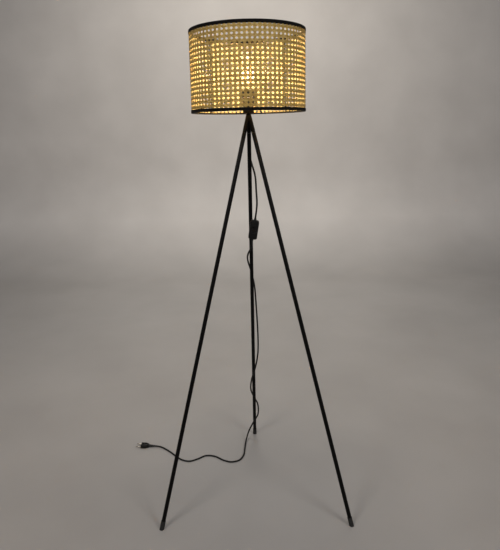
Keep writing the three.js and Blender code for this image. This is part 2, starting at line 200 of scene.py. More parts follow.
# turned brass left bare: yellow with duller patches where it has tarnished
turnedBrass = mottled(
    "turned_brass", "#8C6A2C", "#C9A55A", 1.0, (0.26, 0.45), bump=0.08, patch=6, metallic=1.0
)
# phenolic resin, pressed in a hot steel mould: near black brown with a soft shine
phenolic = mottled(
    "pressed_phenolic", "#130E0B", "#221A15", 0.9, (0.3, 0.45), bump=0.2, patch=14, IOR=1.6
)
# steatite, fired and unglazed: chalky cream with grey specks
steatite = mottled(
    "fired_steatite", "#CFC8B8", "#EAE4D6", 0.6, (0.55, 0.75), bump=0.25, patch=6, IOR=1.6
)
# moulded rubber on the feet and bushings: dull black, dusty grey where it rubs
footRubber = mottled(
    "moulded_rubber", "#0A0A0A", "#1F1E1D", 0.8, (0.65, 0.9), bump=0.4, patch=12, IOR=1.52
)
# extruded PVC on the mains lead: black with a low sheen and faint drawing marks
leadPvc = mottled(
    "extruded_pvc", "#030303", "#0B0A09", 1.6, (0.4, 0.58), bump=0.2, patch=35, Specular_IOR_Level=0.3
)
# ABS moulded against a spark-eroded steel tool: even satin black
satinAbs = mottled(
    "spark_textured_abs",
    "#050505",
    "#0F0E0E",
    0.7,
    (0.42, 0.6),
    bump=0.5,
    patch=16,
    Specular_IOR_Level=0.3,
)
# soft PVC of the grommets and strain reliefs
softPvc = mottled(
    "soft_moulded_pvc", "#0B0B0B", "#1A1A19", 1.0, (0.5, 0.7), bump=0.3, patch=10, IOR=1.53
)


def makeCane(name, tones, coat):
    # rattan split into strands and woven wet: fibres and darker stains run along each strand,
    # and it glows where a light is behind it
    material, tree, shader = startMaterial(name, IOR=1.5, Coat_Weight=coat, Coat_Roughness=0.3)
    along = addNode(tree, "UVMap", {"uv_map": "strand"}).outputs["UV"]
    tone = addNode(tree, "Attribute", {"attribute_name": "tone"}).outputs["Fac"]
    # fibres lie along a strand, 0.35 mm across and about 14 mm long
    # and stains about 17 by 33 mm
    patterns = []
    for scale, detail in (((2900, 70, 1), 3.0), ((60, 30, 1), 2.0)):
        stretched = addNode(tree, "Mapping", inputs={"Vector": along, "Scale": scale}).outputs[0]
        noise = {"Vector": stretched, "Scale": 1.0, "Detail": detail}
        patterns.append(addNode(tree, "TexNoise", inputs=noise).outputs["Fac"])
    fibres, stain = patterns
    mixed = tone
    for pattern, share in ((fibres, 0.5), (stain, 0.45)):
        terms = {0: pattern, 1: share, 2: mixed}
        mixed = addNode(tree, "Math", {"operation": "MULTIPLY_ADD"}, terms).outputs[0]
    colour = addNode(
        tree,
        "ValToRGB",
        inputs={"Fac": addNode(tree, "MapRange", inputs={"Value": mixed, "From Max": 1.5}).outputs[0]},
        stops=list(zip((0.2, 0.5, 0.8), tones)),
    ).outputs["Color"]
    gloss = addNode(
        tree, "MapRange", inputs={"Value": fibres, "To Min": 0.36, "To Max": 0.6}
    ).outputs[0]
    ridges = addNode(
        tree, "Bump", inputs={"Height": fibres, "Strength": 0.5, "Distance": 0.08 * mm}
    ).outputs["Normal"]
    feed(tree, shader, Base_Color=colour, Roughness=gloss, Normal=ridges)
    glow = addNode(tree, "BsdfTranslucent", inputs={"Color": colour, "Normal": ridges})
    mix = addNode(
        tree,
        "MixShader",
        inputs={0: caneSet["glow"], 1: shader.outputs[0], 2: glow.outputs[0]},
    )
    tree.links.new(mix.outputs[0], tree.nodes["Material Output"].inputs["Surface"])
    return material


def makeTape():
    # cotton grosgrain ribbon dyed black: ribs across the tape every 0.9 mm and a fibre sheen
    material, tree, shader = startMaterial(
        "black_grosgrain", Specular_IOR_Level=0.15, Sheen_Weight=0.02, Sheen_Roughness=0.5
    )
    flat = addNode(tree, "UVMap", {"uv_map": "tape"}).outputs["UV"]
    ribs = addNode(
        tree,
        "TexWave",
        {"bands_direction": "X"},
        {"Vector": flat, "Scale": 1000 / 0.9 * 0.05, "Distortion": 0.6, "Detail": 1.0},
    ).outputs["Fac"]
    threads = addNode(
        tree, "TexNoise", inputs={"Vector": flat, "Scale": 1400.0, "Detail": 2.0}
    ).outputs["Fac"]
    worn = addNode(
        tree, "TexNoise", inputs={"Vector": flat, "Scale": 18.0, "Detail": 3.0}
    ).outputs["Fac"]
    both = addNode(
        tree, "Math", {"operation": "MULTIPLY_ADD"}, {0: threads, 1: 0.5, 2: ribs}
    ).outputs[0]
    shade = addNode(tree, "Math", {"operation": "MULTIPLY_ADD"}, {0: worn, 1: 0.8, 2: both}).outputs[0]
    colour = addNode(
        tree,
        "ValToRGB",
        inputs={"Fac": addNode(tree, "MapRange", inputs={"Value": shade, "From Max": 2.0}).outputs[0]},
        stops=[(0.2, "#030202"), (0.8, "#0B0908")],
    ).outputs["Color"]
    raised = addNode(tree, "Bump", inputs={"Height": both, "Strength": 0.6, "Distance": 0.15 * mm})
    gloss = addNode(tree, "MapRange", inputs={"Value": both, "To Min": 0.7, "To Max": 0.9}).outputs[0]
    feed(tree, shader, Base_Color=colour, Roughness=gloss, Normal=raised.outputs["Normal"])
    return material


def makeGlass(name, roughness):
    # blown soda glass with a faint amber wash and slight waves from blowing; the envelope is
    # lightly etched inside, which spreads the light of the sticks into a glow round them
    material, tree, shader = startMaterial(name, IOR=1.5, Roughness=roughness, Transmission_Weight=1.0)
    place = addNode(tree, "TexCoord").outputs["Object"]
    waves = addNode(
        tree, "TexNoise", inputs={"Vector": place, "Scale": 45.0, "Detail": 1.0}
    ).outputs["Fac"]
    tint = addNode(
        tree, "ValToRGB", inputs={"Fac": waves}, stops=[(0.3, "#FFF3DC"), (0.7, "#FFF9EE")]
    ).outputs["Color"]
    uneven = addNode(tree, "Bump", inputs={"Height": waves, "Strength": 0.15, "Distance": 0.4 * mm})
    feed(tree, shader, Base_Color=tint, Normal=uneven.outputs["Normal"])
    return material


def makeFilament():
    # yellow phosphor resin over LED chips: it glows, brightest over the row of chips
    material, tree, shader = startMaterial("lit_phosphor_resin", Roughness=0.45)
    place = addNode(tree, "TexCoord").outputs["Object"]
    chips = addNode(
        tree,
        "TexWave",
        {"bands_direction": "Z", "wave_profile": "SIN"},
        {"Vector": place, "Scale": 1000 / 2.4 * 0.05, "Distortion": 0.0},
    ).outputs["Fac"]
    glow = addNode(
        tree, "ValToRGB", inputs={"Fac": chips}, stops=[(0.0, "#FF9A3C"), (1.0, "#FFC477")]
    ).outputs["Color"]
    power = addNode(
        tree, "MapRange", inputs={"Value": chips, "To Min": 400.0, "To Max": 650.0}
    ).outputs[0]
    feed(tree, shader, Base_Color=glow, Emission_Color=glow, Emission_Strength=power)
    return material


# shaping helpers


def ease(bm, items, width, segments=3, kind="EDGES"):
    # rounds edges, or the corners of an outline when the kind is VERTICES
    bmesh.ops.bevel(
        bm,
        geom=list(items),
        offset=width * mm,
        offset_type="OFFSET",
        segments=segments,
        profile=0.5,
        affect=kind,
        material=-1,
        clamp_overlap=True,
    )


def lifted(corners, height):
    # an outline moved up by a height
    return [(radius, height + z, *rounding) for radius, z, *rounding in corners]


def turn(bm, corners, steps=64, closed=False, finish=None):
    # spins an outline of (radius, height) or (radius, height, rounding) corners about Z
    before = set(bm.verts)
    verts = [bm.verts.new((corner[0] * mm, 0, corner[1] * mm)) for corner in corners]
    for pair in zip(verts, verts[1:] + verts[:1]):
        if closed or pair[1] is not verts[0]:
            bm.edges.new(pair)
    for vert, corner in zip(verts, corners):
        if len(corner) > 2:
            ease(bm, [vert], corner[2], 4, "VERTICES")
    outline = [vert for vert in bm.verts if vert not in before]
    edges = {edge for vert in outline for edge in vert.link_edges}
    bmesh.ops.spin(
        bm,
        geom=outline + list(edges),
        cent=(0, 0, 0),
        axis=(0, 0, 1),
        angle=fullTurn,
        steps=steps,
        use_merge=True,
    )
    made = [vert for vert in bm.verts if vert not in before]
    bmesh.ops.remove_doubles(bm, verts=made, dist=0.002 * mm)
    made = [vert for vert in bm.verts if vert not in before]
    if finish:
        bmesh.ops.transform(bm, matrix=finish, verts=made)
    return made


def thread(bm, root, crest, low, high, pitch, steps=30):
    # a closed ridge swept up a screw line, its foot buried in the body
    foot, top, sunk = 0.46 * pitch, 0.14 * pitch, root - 0.3
    corners = [(sunk, -foot), (root, -foot), (crest, -top), (crest, top), (root, foot), (sunk, foot)]
    verts = [bm.verts.new((r * mm, 0, (low + z) * mm)) for r, z in corners]
    face = bm.faces.new(verts)
    turns = (high - low) / pitch
    count = round(turns * steps)
    bmesh.ops.spin(
        bm,
        geom=verts + list(face.edges) + [face],
        cent=(0, 0, 0),
        axis=(0, 0, 1),
        dvec=(0, 0, (high - low) / count * mm),
        angle=fullTurn * turns,
        steps=count,
    )


def rod(bm, start, end, radius, sides=24, bevel=0.0):
    # a round bar between two points in millimetres from the lamp's axis
    start, end = Vector(start), Vector(end)
    middle = Matrix.Translation((start + end) / 2 * mm)
    turned = (end - start).to_track_quat("Z", "Y").to_matrix().to_4x4()
    made = bmesh.ops.create_cone(
        bm,
        cap_ends=True,
        segments=sides,
        radius1=radius * mm,
        radius2=radius * mm,
        depth=(end - start).length * mm,
        matrix=middle @ turned,
    )["verts"]
    if bevel:
        rims = {edge for vert in made for edge in vert.link_edges if edge.calc_face_angle(0) > 1}
        ease(bm, rims, bevel)
    return made


def addPiece(name, bm, look, body, stands=(), place=None, angle=38):
    # merges doubles, faces everything outwards, marks the sharp edges and hands the piece over
    bmesh.ops.remove_doubles(bm, verts=bm.verts, dist=0.001 * mm)
    bmesh.ops.recalc_face_normals(bm, faces=bm.faces)
    if place is not None:
        bmesh.ops.transform(bm, matrix=place, verts=bm.verts)
    for face in bm.faces:
        face.smooth = True
    for edge in bm.edges:
        edge.smooth = edge.calc_face_angle(0) < math.radians(angle)
    mesh = bpy.data.meshes.new(name)
    bm.to_mesh(mesh)
    bm.free()
    piece = bpy.data.objects.new(name, mesh)
    bpy.context.scene.collection.objects.link(piece)
    mesh.materials.append(look)
    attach(piece, body)
    if stands:
        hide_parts(*stands)
    return piece


onAxis = Matrix.Translation(lampAxis)

# mains lead: it hangs from the hub, goes through the switch, round the back leg and over the floor

leadSet = {
    "diameter": 6,
    "length": 1920,
    "exit": (0, 40.5, 1291),
    "spans": 11,  # curve steps between two route points
    "upper": [
        (0, 34, 1291),
        (0, 40.8, 1291),
        (0, 57, 1290),
        (0, 73, 1279),
        (0, 80.5, 1256),
        (0, 81, 1200),
        (3.5, 78.5, 1142),
        (17, 72, 1090),
        (20, 71, 1040),
        (21.5, 68, 995),
        (15.961, 73.237, 950.069),
    ],
    "lower": [
        (3.039, 81.763, 868.931),
        (-1, 85.4, 846),
        (-11, 106, 820),
        (-13, 139, 791),
        (-3, 158, 748),
        (8, 167, 695),
        (13, 182, 625),
        (18, 235, 410),
        (8, 243.5, 345),
        (-7.5, 257, 288),
        (-12.5, 285, 230),
        (-1, 309, 184),
        (14, 315, 147),
        (14, 309, 108),
        (-4, 311, 73),
        (-24, 312, 32),
        (-36, 284, 8),
        (-41, 235, 3.5),
        (-45, 196, 3.2),
        (-60, 166, 3.2),
        (-91, 155, 3.2),
        (-121, 166, 3.2),
        (-156, 191, 3.2),
        (-190, 196, 3.2),
        (-220, 177, 3.2),
        (-250, 164, 3.2),
        (-281, 174, 3.2),
        (-336, 228, 3.2),
        (-373, 256, 4.6),
        (-399.7, 260, 7.05),
        (-407, 260.8, 7.05),
    ],
}


def smoothRoute(points, spans):
    # a centripetal spline through the points, with the same number of steps in each span
    points = [Vector(point) for point in points]
    padded = [points[0] * 2 - points[1], *points, points[-1] * 2 - points[-2]]
    route = []
    for a, b, c, d in zip(padded, padded[1:], padded[2:], padded[3:]):
        t0, t1, t2 = (max((q - p).length ** 0.5, 1e-4) for p, q in ((a, b), (b, c), (c, d)))
        leave = ((b - a) / t0 - (c - a) / (t0 + t1) + (c - b) / t1) * t1
        arrive = ((c - b) / t1 - (d - b) / (t1 + t2) + (d - c) / t2) * t1
        for i in range(spans):
            s = i / spans
            route.append(
                b * (2 * s**3 - 3 * s**2 + 1)
                + leave * (s**3 - 2 * s**2 + s)
                + c * (3 * s**2 - 2 * s**3)
                + arrive * (s**3 - s**2)
            )
    return route + [points[-1]]


def makeLead():
    route = smoothRoute(leadSet["upper"], leadSet["spans"])
    route += smoothRoute(leadSet["lower"], leadSet["spans"])
    curve = bpy.data.curves.new("mains_lead", "CURVE")
    curve.dimensions = "3D"
    curve.bevel_depth = leadSet["diameter"] / 2 * mm
    curve.bevel_resolution = 3
    curve.use_fill_caps = True
    spline = curve.splines.new("POLY")
    spline.points.add(len(route) - 1)
    for point, place in zip(spline.points, route):
        point.co = (*atLamp(*place), 1)
    spline.use_smooth = True
    curve.materials.append(leadPvc)
    lead = bpy.data.objects.new("mains_lead", curve)
    bpy.context.scene.collection.objects.link(lead)
    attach(lead, "stand")
    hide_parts("cord_upper", "cord_lower")
    return lead


lead = makeLead()
print("mains lead laid")

# cane webbing: pairs of strands up and round, and two sets of slanting strands woven through them

caneSet = {
    "radius": 171.8,
    "low": 1289.2,
    "high": 1521.8,
    "columns": 78,  # holes round the shade
    "rows": 18,  # holes up the shade
    "pairSplit": 1.6,  # half the distance between the two strands of a pair
    "pairWidth": 2.85,
    "slantWidth": 3.3,
    "thickness": 0.4,
    "slantRise": 0.7,  # how far a slanting strand passes over and under the uprights
    "roundRise": 0.5,  # how far a strand that goes round passes over and under them
    "crown": 0.07,
    "waver": (0.12, 23),  # how far a strand strays sideways, and over what length
    "glow": 0.16,
    "seed": 7,
}
pitchRound = fullTurn * caneSet["radius"] / caneSet["columns"]
pitchUp = (caneSet["high"] - caneSet["low"]) / caneSet["rows"]


def addStrand(bm, layers, length, steps, width, path, draw):
    # a flat strip two faces wide, sent point by point to its place on the drum
    uvLayer, toneLayer = layers
    strays, strayLength = caneSet["waver"]
    before = len(bm.faces)
    made = bmesh.ops.create_grid(bm, x_segments=2, y_segments=steps, size=0.5, calc_uvs=True)["verts"]
    tone = draw.uniform(0.3, 0.6)
    slide = draw.uniform(0, 5)
    wide = width * draw.uniform(0.9, 1.08)
    sway = draw.uniform(0, fullTurn)
    bm.faces.ensure_lookup_table()
    for face in bm.faces[before:]:
        for loop in face.loops:
            across, along = loop[uvLayer].uv
            loop[uvLayer].uv = (across * width * mm + slide, along * length * mm + slide)
    for vert in made:
        across, along = vert.co.x, vert.co.y + 0.5
        waver = strays * math.sin(sway + along * length / strayLength)
        aroundPlace, height, rise = path(along, across * wide + waver)
        if abs(across) < 0.1:
            rise += caneSet["crown"]
        radius = caneSet["radius"] + rise
        angle = aroundPlace / caneSet["radius"]
        vert.co = (radius * math.sin(angle) * mm, -radius * math.cos(angle) * mm, height * mm)
        vert[toneLayer] = tone


def addStrands(name, looks, strands, draw):
    bm = bmesh.new()
    layers = (bm.loops.layers.uv.new("strand"), bm.verts.layers.float.new("tone"))
    for length, steps, width, path in strands:
        addStrand(bm, layers, length, steps, width, path, draw)
    piece = addPiece(name, bm, looks[0], "shade", ["cane_webbing"], onAxis, 60)
    piece.data.materials.append(looks[1])
    solid = piece.modifiers.new("strand thickness", "SOLIDIFY")
    solid.thickness = caneSet["thickness"] * mm
    solid.offset = 0
    solid.material_offset = 1  # the inner side is the pith side
    return piece


def weaveCane():
    # the skin side is honey gold and glossy, the pith side pale cream and dull
    skin = makeCane("split_rattan_skin", ("#5E4812", "#AC8A3C", "#DCBF72"), 0.15)
    pith = makeCane("split_rattan_pith", ("#8C7A44", "#AE9E68", "#C8BC8E"), 0.0)
    draw = random.Random(caneSet["seed"])
    low, height = caneSet["low"], caneSet["high"] - caneSet["low"]
    around = pitchRound * caneSet["columns"]
    split = caneSet["pairSplit"]
    uprights, rounds, slants, backSlants = [], [], [], []
    for column in range(caneSet["columns"]):
        for side in (-split, split):
            centre = (column + 0.5) * pitchRound + side

            def upright(along, across, centre=centre):
                return centre + across, low + along * height, 0

            uprights.append((height, caneSet["rows"] * 3, caneSet["pairWidth"], upright))
    for row in range(caneSet["rows"] + 1):
        for side in (-split, split):
            level = low + row * pitchUp + side
            if not low < level < low + height:
                continue
            phase = 1 if side > 0 else -1

            def course(along, across, level=level, phase=phase):
                rise = phase * caneSet["roundRise"] * math.sin(math.pi * along * caneSet["columns"])
                return along * around, level + across, rise

            rounds.append((around, caneSet["columns"] * 4, caneSet["pairWidth"], course))
    for column in range(caneSet["columns"]):
        for lean, group in ((1, slants), (-1, backSlants)):
            start = column * pitchRound

            def slant(along, across, start=start, lean=lean):
                run = along * caneSet["rows"] * pitchRound
                rise = -caneSet["slantRise"] * lean * math.cos(fullTurn * (start + run) / pitchRound)
                half = across / math.sqrt(2)
                return start + lean * run + half, low + along * height - lean * half, rise

            length = math.hypot(height, caneSet["rows"] * pitchRound)
            group.append((length, caneSet["rows"] * 4, caneSet["slantWidth"], slant))
    addStrands("cane_uprights", (skin, pith), uprights, draw)
    addStrands("cane_rounds", (skin, pith), rounds, draw)
    addStrands("cane_slants", (skin, pith), slants, draw)
    addStrands("cane_back_slants", (skin, pith), backSlants, draw)


weaveCane()
print("cane woven")

# edge tapes: a ribbon folded over each rim, its end lapped over its start at the back

tapeSet = {
    "outer": 174,
    "inner": 165.5,
    "height": 9,
    "innerHeight": {"top_tape": 9, "bottom_tape": 5},  # less at the bottom, where the spokes end
    "thickness": 1.0,
    "innerThickness": 0.9,
    "foldRound": 1.0,
    "lapAngle": 97,
    "lapWidth": 14,
    "lapRise": 0.35,
    "steps": 192,
}


def addTape(name, rim, side, look):
    s = tapeSet
    bm = bmesh.new()
    wall, innerWall = s["thickness"], s["inner"] + s["innerThickness"]
    inside = rim - side * s["innerHeight"][name]
    corners = [
        (s["outer"], rim - side * s["height"], 0.3),
        (s["outer"], rim, s["foldRound"]),
        (s["inner"], rim, s["foldRound"]),
        (s["inner"], inside, 0.25),
        (innerWall, inside, 0.25),
        (innerWall, rim - side * wall, 0.4),
        (s["outer"] - wall, rim - side * wall, 0.4),
        (s["outer"] - wall, rim - side * s["height"], 0.3),
    ]
    turn(bm, corners, s["steps"], closed=True)
    # the lap: faces within its width stand a little proud of the tape
    lapStart = math.radians(s["lapAngle"])
    lapEnd = lapStart + s["lapWidth"] / s["outer"]
    for vert in bm.verts:
        angle = math.atan2(vert.co.y, vert.co.x)
        outside = math.hypot(vert.co.x, vert.co.y) > (s["outer"] - 0.5) * mm
        if not lapStart < angle < lapEnd and outside:
            vert.co.x *= 1 - s["lapRise"] / s["outer"]
            vert.co.y *= 1 - s["lapRise"] / s["outer"]
    flat = bm.loops.layers.uv.new("tape")
    for face in bm.faces:
        first = math.atan2(face.calc_center_median().y, face.calc_center_median().x)
        for loop in face.loops:
            angle = math.atan2(loop.vert.co.y, loop.vert.co.x)
            angle += fullTurn * round((first - angle) / fullTurn)
            reach = math.hypot(loop.vert.co.x, loop.vert.co.y)
            loop[flat].uv = (angle * s["outer"] * mm, loop.vert.co.z - reach)
    addPiece(name + "_ribbon", bm, look, "shade", [name], onAxis, 50)


ribbon = makeTape()
addTape("top_tape", 1524, 1, ribbon)
addTape("bottom_tape", 1287, -1, ribbon)
print("edge tapes folded")

# wire frame of the shade

wireSet = {
    "hoopRadius": 168.7,
    "hoopWire": 2.0,
    "hoopLevels": {"top": 1520.8, "bottom": 1290.2},
    "uprightRadius": 169.2,
    "uprightWire": 1.5,
    "uprightAngles": [45, 135, 225, 315],
    "spokeWire": 1.8,
    "spokeAngles": [75, 195, 315],
    "spokeInner": (30.2, 1326.9),
    "spokeOuter": (167.6, 1294.6),
    "weldRadius": 2.6,
    "plate": [(20.2, 1325.9, 0.3), (31, 1325.9, 0.6), (31, 1327.9, 0.6), (20.2, 1327.9, 0.3)],
}


def around(radius, degrees, height):
    turned = math.radians(degrees)
    return Vector((radius * math.cos(turned), radius * math.sin(turned), height))


def weld(bm, place, radius):
    # a small bead of weld metal, flattened along the lamp's axis
    bmesh.ops.create_uvsphere(
        bm,
        u_segments=14,
        v_segments=9,
        radius=radius * mm,
        matrix=Matrix.Translation(place * mm) @ Matrix.Diagonal((1, 1, 0.8, 1)),
    )


def makeFrame():
    s = wireSet
    for level, height in s["hoopLevels"].items():
        bm = bmesh.new()
        bmesh.ops.create_circle(
            bm,
            segments=12,
            radius=s["hoopWire"] * mm,
            matrix=Matrix.Translation((s["hoopRadius"] * mm, 0, height * mm))
            @ Matrix.Rotation(math.pi / 2, 4, "X"),
        )
        bmesh.ops.spin(
            bm,
            geom=bm.verts[:] + bm.edges[:],
            cent=(0, 0, 0),
            axis=(0, 0, 1),
            angle=fullTurn,
            steps=144,
            use_merge=True,
        )
        name = "frame_hoop_" + level
        addPiece(name + "_wire", bm, wireEnamel, "shade", [name], onAxis)
    low, high = s["hoopLevels"]["bottom"] + 1.6, s["hoopLevels"]["top"] - 1.6
    for i, degrees in enumerate(s["uprightAngles"]):
        bm = bmesh.new()
        ends = [around(s["uprightRadius"], degrees, height) for height in (low, high)]
        rod(bm, *ends, s["uprightWire"], 16)
        for end in ends:
            weld(bm, end, s["uprightWire"] + 0.5)
        name = f"frame_upright_{i + 1}"
        addPiece(name + "_wire", bm, wireEnamel, "shade", [name], onAxis)
    for i, degrees in enumerate(s["spokeAngles"]):
        bm = bmesh.new()
        ends = [around(r, degrees, height) for r, height in (s["spokeInner"], s["spokeOuter"])]
        rod(bm, *ends, s["spokeWire"], 16)
        for end in ends:
            weld(bm, end, s["weldRadius"])
        name = f"spider_spoke_{i + 1}"
        addPiece(name + "_wire", bm, wireEnamel, "shade", [name], onAxis)
    bm = bmesh.new()
    turn(bm, s["plate"], 64, closed=True)
    addPiece("spider_plate", bm, wireEnamel, "shade", ["spider_ring"], onAxis)


makeFrame()
print("wire frame welded")

# tripod: head, legs and rubber feet

tripodSet = {
    "meet": 1286,  # height where the three leg axes meet
    "footRadius": 346,
    "tube": 12.7,
    "wall": 1.2,
    "stub": 62,  # welded stub of the head, along its leg
    "hubRadius": 16.5,
    "hubLow": 1285,
    "hubHigh": 1297,
    "weldGrain": 0.6,  # size of the remesh that runs the welds together
    "gap": 0.3,
    "footFloor": 4,  # rubber under the end of a tube
    # a foot's outline, with heights from the end of the leg, before its end is cut level
    "foot": [
        (0, 4),
        (7.4, 4),
        (7.4, -17.5, 0.2),
        (7.0, -18, 0.2),
        (7.0, -19.5, 0.2),
        (7.4, -20, 0.2),
        (7.4, -22.5, 0.2),
        (7.0, -23, 0.2),
        (7.0, -24.5, 0.2),
        (7.4, -25, 0.2),
        (7.4, -28, 0.5),
        (6.45, -28, 0.2),
        (6.45, -4),
        (0, -4),
    ],
}
legAngles = {"back": 90, "left": 210, "right": 330}


def alongLeg(degrees):
    # a frame whose Z runs down a leg from the point where the axes meet
    foot = around(tripodSet["footRadius"], degrees, -tripodSet["meet"])
    turned = Vector((0, 0, 1)).rotation_difference(foot).to_matrix().to_4x4()
    return onAxis @ Matrix.Translation((0, 0, tripodSet["meet"] * mm)) @ turned


def makeTripod():
    s = tripodSet
    length = math.hypot(s["footRadius"], s["meet"])
    radius = s["tube"] / 2
    bore = radius - s["wall"]
    head = bmesh.new()
    hub = [(0, s["hubLow"]), (s["hubRadius"], s["hubLow"], 1.2), (s["hubRadius"], s["hubHigh"], 1.2)]
    turn(head, hub + [(0, s["hubHigh"])], 96, finish=onAxis)
    for degrees in legAngles.values():
        stub = [(0, -2), (radius, -2), (radius, s["stub"], 0.5), (0, s["stub"])]
        turn(head, stub, 64, finish=alongLeg(degrees))
    piece = addPiece("welded_head", head, powderCoat, "stand", ["tripod_head"])
    joined = piece.modifiers.new("welds", "REMESH")
    joined.mode = "VOXEL"
    joined.voxel_size = s["weldGrain"] * mm
    joined.use_smooth_shade = True
    eased = piece.modifiers.new("eased", "SMOOTH")
    eased.factor = 0.5
    eased.iterations = 4
    applyModifiers(piece)
    for side, degrees in legAngles.items():
        bm = bmesh.new()
        start, end = s["stub"] + s["gap"], length - s["footFloor"] - s["gap"]
        tube = [(bore, start), (radius, start, 0.5), (radius, end, 0.4), (bore, end)]
        turn(bm, tube, 64, closed=True)
        place = alongLeg(degrees)
        addPiece(f"leg_tube_{side}", bm, powderCoat, "stand", ["leg_" + side], place)
        bm = bmesh.new()
        turn(bm, lifted(s["foot"], length), 48, finish=place)
        cut = bmesh.ops.bisect_plane(
            bm,
            geom=bm.verts[:] + bm.edges[:] + bm.faces[:],
            plane_co=(0, 0, 0),
            plane_no=(0, 0, 1),
            clear_inner=True,
        )
        rim = [item for item in cut["geom_cut"] if isinstance(item, bmesh.types.BMEdge)]
        bmesh.ops.holes_fill(bm, edges=rim)
        name = "foot_cap_" + side
        addPiece(name + "_ferrule", bm, footRubber, "stand", [name])


def applyModifiers(piece):
    # keeps the finished shape as a plain mesh
    shown = piece.evaluated_get(bpy.context.evaluated_depsgraph_get())
    old = piece.data
    piece.data = bpy.data.meshes.new_from_object(shown)
    piece.modifiers.clear()
    bpy.data.meshes.remove(old)
    piece.data.name = piece.name


makeTripod()
print("tripod welded")

# lamp holder: base, threaded skirt and the ring that clamps the shade

holderSet = {
    "baseAt": 1301.6,
    "base": [
        (5.1, 0, 0.4),
        (11, 0, 1.2),
        (17.6, 4, 1.5),
        (18.8, 8, 1.2),
        (18.8, 13, 0.2),
        (18.4, 13.4, 0.2),
        (18.4, 14.6, 0.2),
        (18.8, 15, 0.2),
        (18.8, 20.7, 0.4),
        (16.8, 20.7, 0.3),
        (16.8, 8, 1),
        (5.1, 3, 0.4),
    ],
    "skirtAt": 1322.6,
    "skirt": [
        (15.5, 0, 0.3),
        (23, 0, 0.5),
        (23, 3, 0.5),
        (18.9, 3, 0.2),
        (18.9, 29, 0.8),
        (15.5, 29, 0.5),
    ],
    "thread": {"root": 18.9, "crest": 19.7, "low": 1328.1, "high": 1348.6, "pitch": 3.0},
    "clampAt": 1328.2,
    "clamp": [
        (20.2, 0, 0.3),
        (28.5, 0, 0.5),
        (28.5, 2.4, 0.7),
        (24, 3.6, 0.8),
        (23, 11, 0.6),
        (20.2, 11, 0.4),
    ],
    "grips": 24,
    "gripSize": (1.6, 1.3, 6.6),
    "gripAt": (23.4, 6.6),  # radius, and height over the clamp ring's foot
    "nutAt": 1299.3,
    "nutRadius": 8.1,
    "nutHeight": 4,
}


def makeHolder():
    s = holderSet
    bm = bmesh.new()
    turn(bm, lifted(s["base"], s["baseAt"]), 72, closed=True)
    addPiece("holder_base_cap", bm, phenolic, "stand", ["holder_base"], onAxis)
    bm = bmesh.new()
    turn(bm, lifted(s["skirt"], s["skirtAt"]), 72, closed=True)
    thread(bm, **s["thread"], steps=36)
    addPiece("holder_thread_skirt", bm, phenolic, "stand", ["holder_skirt"], onAxis)
    bm = bmesh.new()
    turn(bm, lifted(s["clamp"], s["clampAt"]), 72, closed=True)
    radius, height = s["gripAt"]
    for i in range(s["grips"]):
        made = bmesh.ops.create_cube(bm, size=1.0)["verts"]
        bmesh.ops.scale(bm, vec=Vector(s["gripSize"]) * mm, verts=made)
        grip = around(radius, 360 / s["grips"] * i, s["clampAt"] + height) * mm
        place = Matrix.Translation(grip) @ Matrix.Rotation(fullTurn / s["grips"] * i, 4, "Z")
        bmesh.ops.transform(bm, matrix=place, verts=made)
        ease(bm, {edge for vert in made for edge in vert.link_edges}, 0.35, 2)
    name = "shade_clamp_ring"
    addPiece(name + "_gripped", bm, phenolic, "stand", [name], onAxis)
    bm = bmesh.new()
    radius = s["nutRadius"] * mm
    made = bmesh.ops.create_cone(
        bm, cap_ends=True, segments=6, radius1=radius, radius2=radius, depth=s["nutHeight"] * mm
    )["verts"]
    bmesh.ops.translate(bm, vec=(0, 0, s["nutAt"] * mm), verts=made)
    ease(bm, bm.edges, 0.35, 2)
    addPiece("hex_lock_nut", bm, zincPlate, "stand", ["lock_nut"], onAxis)


makeHolder()
print("holder made")

# bulb: teardrop glass on a screw cap, with four glowing sticks

bulbSet = {
    "bottom": 1326.8,
    "outline": [
        (12.3, 12),
        (12.3, 26),
        (16, 42),
        (25, 66),
        (31.4, 88),
        (31, 106),
        (24, 124),
        (11, 135),
        (0, 138),
    ],
    "wall": 0.9,
    "etch": 0.15,
    "cap": [
        (11.6, 6.3, 0.3),
        (12.5, 6.6, 0.6),
        (12.5, 23.4, 0.4),
        (14, 26, 0.2),
        (13.3, 26.1, 0.2),
        (11.9, 23.5),
    ],
    "thread": {"root": 12.5, "crest": 13.2, "low": 9, "high": 21.5, "pitch": 3.6},
    "insulator": [(0, 2.3), (5.5, 2.3, 0.5), (11.5, 5, 0.6), (11.5, 6.2), (0, 6.2)],
    "contact": [(0, 0), (3, 0, 0.6), (4.4, 1, 0.4), (4.4, 2.2), (0, 2.2)],
    "stem": [
        (0, 14),
        (10.8, 14, 0.4),
        (10.8, 15.5, 0.6),
        (4, 24, 4),
        (2.6, 40),
        (2.2, 48, 0.8),
        (0, 48),
    ],
    "stickLow": (8, 48),
    "stickHigh": (13.5, 100),
    "stickRadius": 1.1,
    "stickAngles": [45, 135, 225, 315],
    "wireFoot": (1.2, 45),
    "wirePeak": 104,
    "wireRadii": (0.3, 0.25),  # the feed wires below the sticks, and the ones that join them above
}


